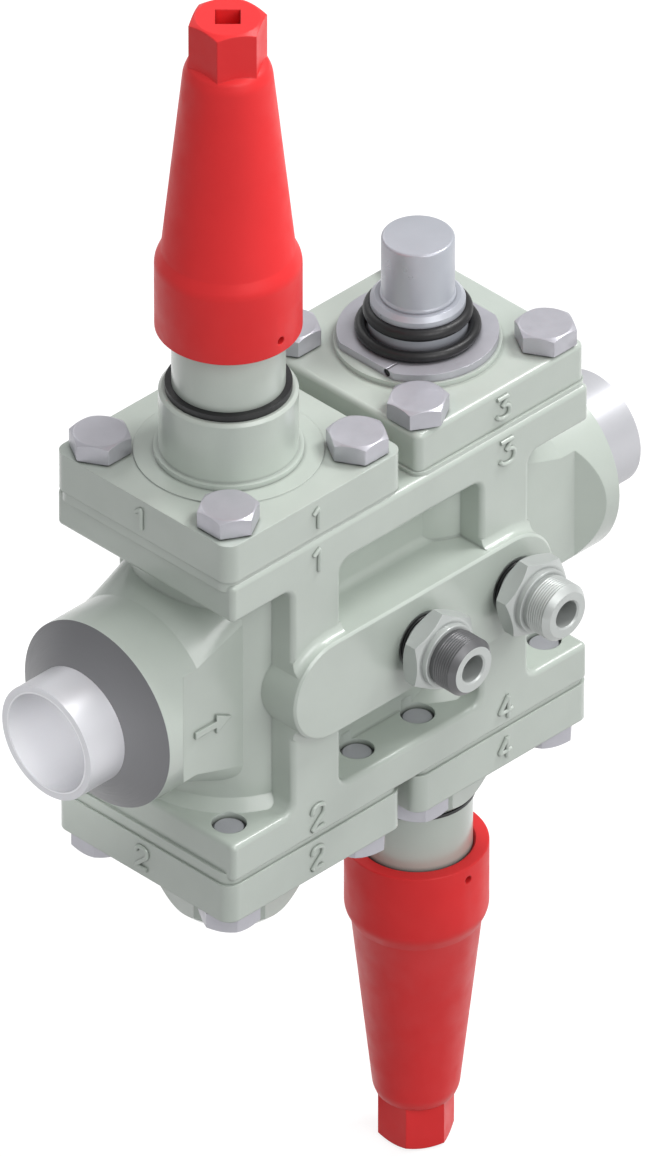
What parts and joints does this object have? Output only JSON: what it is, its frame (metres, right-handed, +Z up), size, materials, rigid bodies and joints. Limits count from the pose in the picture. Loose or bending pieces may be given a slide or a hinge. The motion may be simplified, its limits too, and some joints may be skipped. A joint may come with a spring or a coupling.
{
  "type": "valve station",
  "caption": "Refrigerant valve station: cast housing with stacked module ports, capped stop valves above and below, strainer, motor valve, butt-weld ends and side nipples.",
  "frame": {"origin": "centre of the inlet weld end face, on the pipe axis", "axes": "+X along the pipe axis in the flow direction, +Y to the plain rear side, +Z up along the columns"},
  "size_m": [0.263, 0.1135, 0.5058],
  "materials": {
    "coated_casting": "light grey-green coating on sand-cast steel, machined faces left smooth",
    "zinc_plated_steel": "zinc plated, slightly warm grey",
    "machined_steel": "bluish grey, turned",
    "red_coated_aluminium": "bright red coating, satin gloss",
    "black_rubber": "matt black",
    "stainless_trim": "turned stainless",
    "seal_plastic": "off-white sealing plastic",
    "bearing_bronze": "plain bearing bronze",
    "magnet_black": "dark sintered magnet",
    "fibre_gasket": "dark gasket sheet"
  },
  "bodies": {
    "housing": {"housing": "coated_casting", "inlet_stop_cover": "coated_casting", "outlet_stop_cover": "coated_casting", "strainer_cover": "coated_casting", "motor_valve_cover": "coated_casting", "inlet_stop_cover_gasket": "fibre_gasket", "outlet_stop_cover_gasket": "fibre_gasket", "strainer_cover_gasket": "fibre_gasket", "motor_valve_cover_gasket": "fibre_gasket", "inlet_stop_cover_bolts": "zinc_plated_steel", "outlet_stop_cover_bolts": "zinc_plated_steel", "strainer_cover_bolts": "zinc_plated_steel", "motor_valve_cover_bolts": "zinc_plated_steel", "strainer_plug": "coated_casting", "strainer_seat_ring": "stainless_trim", "strainer_basket": "stainless_trim", "strainer_basket_holder": "stainless_trim", "motor_valve_lock_disc": "zinc_plated_steel", "motor_valve_set_screw": "black_rubber", "motor_valve_adaptor": "machined_steel", "motor_valve_large_oring": "black_rubber", "motor_valve_small_oring": "black_rubber", "motor_valve_can": "machined_steel", "motor_valve_screw_bush": "bearing_bronze", "motor_valve_insert": "stainless_trim", "motor_valve_seat_ring": "seal_plastic", "first_nipple": "machined_steel", "first_nipple_washer": "fibre_gasket", "second_nipple": "zinc_plated_steel", "second_nipple_washer": "fibre_gasket", "inlet_stop_bonnet": "coated_casting", "inlet_stop_neck_tube": "coated_casting", "inlet_stop_neck_seal": "black_rubber", "inlet_stop_spindle_packing": "seal_plastic", "inlet_stop_gland_nut": "machined_steel", "inlet_stop_cage": "stainless_trim", "outlet_stop_bonnet": "coated_casting", "outlet_stop_neck_tube": "coated_casting", "outlet_stop_neck_seal": "black_rubber", "outlet_stop_spindle_packing": "seal_plastic", "outlet_stop_gland_nut": "machined_steel", "outlet_stop_cage": "stainless_trim"},
    "inlet_stop_cone": {"inlet_stop_cone": "stainless_trim", "inlet_stop_cone_seal": "seal_plastic", "inlet_stop_cone_retainer": "stainless_trim"},
    "inlet_stop_spindle": {"inlet_stop_spindle": "stainless_trim"},
    "inlet_stop_cap_gasket": {"inlet_stop_cap_gasket": "fibre_gasket"},
    "inlet_stop_cap": {"inlet_stop_cap": "red_coated_aluminium"},
    "outlet_stop_cone": {"outlet_stop_cone": "stainless_trim", "outlet_stop_cone_seal": "seal_plastic", "outlet_stop_cone_retainer": "stainless_trim"},
    "outlet_stop_spindle": {"outlet_stop_spindle": "stainless_trim"},
    "outlet_stop_cap_gasket": {"outlet_stop_cap_gasket": "fibre_gasket"},
    "outlet_stop_cap": {"outlet_stop_cap": "red_coated_aluminium"},
    "motor_valve_screw": {"motor_valve_lead_screw": "stainless_trim", "motor_valve_magnet": "magnet_black"},
    "motor_valve_plug": {"motor_valve_plug": "stainless_trim"}
  },
  "joints": [
    {"name": "inlet_stop_cone_lift", "type": "slide", "parent": "housing", "child": "inlet_stop_cone", "axis": [0, 0, 1], "range_m": [0, 0.016]},
    {"name": "inlet_stop_spindle_turn", "type": "hinge", "parent": "inlet_stop_cone", "child": "inlet_stop_spindle", "pos_m": [0.0865, 0, 0], "axis": [0, 0, 1], "range_deg": [0, 2880]},
    {"name": "inlet_stop_cap_lift", "type": "slide", "parent": "housing", "child": "inlet_stop_cap_gasket", "axis": [0, 0, 1], "range_m": [0, 0.012]},
    {"name": "inlet_stop_cap_turn", "type": "hinge", "parent": "inlet_stop_cap_gasket", "child": "inlet_stop_cap", "pos_m": [0.0865, 0, 0], "axis": [0, 0, 1], "range_deg": [0, 2880]},
    {"name": "outlet_stop_cone_lift", "type": "slide", "parent": "housing", "child": "outlet_stop_cone", "axis": [0, 0, -1], "range_m": [0, 0.016]},
    {"name": "outlet_stop_spindle_turn", "type": "hinge", "parent": "outlet_stop_cone", "child": "outlet_stop_spindle", "pos_m": [0.1765, 0, 0], "axis": [0, 0, -1], "range_deg": [0, 2880]},
    {"name": "outlet_stop_cap_lift", "type": "slide", "parent": "housing", "child": "outlet_stop_cap_gasket", "axis": [0, 0, -1], "range_m": [0, 0.012]},
    {"name": "outlet_stop_cap_turn", "type": "hinge", "parent": "outlet_stop_cap_gasket", "child": "outlet_stop_cap", "pos_m": [0.1765, 0, 0], "axis": [0, 0, -1], "range_deg": [0, 2880]},
    {"name": "motor_valve_screw_turn", "type": "hinge", "parent": "housing", "child": "motor_valve_screw", "pos_m": [0.1765, 0, 0], "axis": [0, 0, -1], "range_deg": [0, 2160]},
    {"name": "motor_valve_plug_lift", "type": "slide", "parent": "housing", "child": "motor_valve_plug", "axis": [0, 0, 1], "range_m": [0, 0.012]}
  ],
  "couplings": [
    {"joint": "inlet_stop_spindle_turn", "follows": "inlet_stop_cone_lift", "rad_per_m": 3141.6},
    {"joint": "inlet_stop_cap_turn", "follows": "inlet_stop_cap_lift", "rad_per_m": 4188.8},
    {"joint": "outlet_stop_spindle_turn", "follows": "outlet_stop_cone_lift", "rad_per_m": 3141.6},
    {"joint": "outlet_stop_cap_turn", "follows": "outlet_stop_cap_lift", "rad_per_m": 4188.8},
    {"joint": "motor_valve_plug_lift", "follows": "motor_valve_screw_turn", "m_per_rad": 0.00031831}
  ]
}
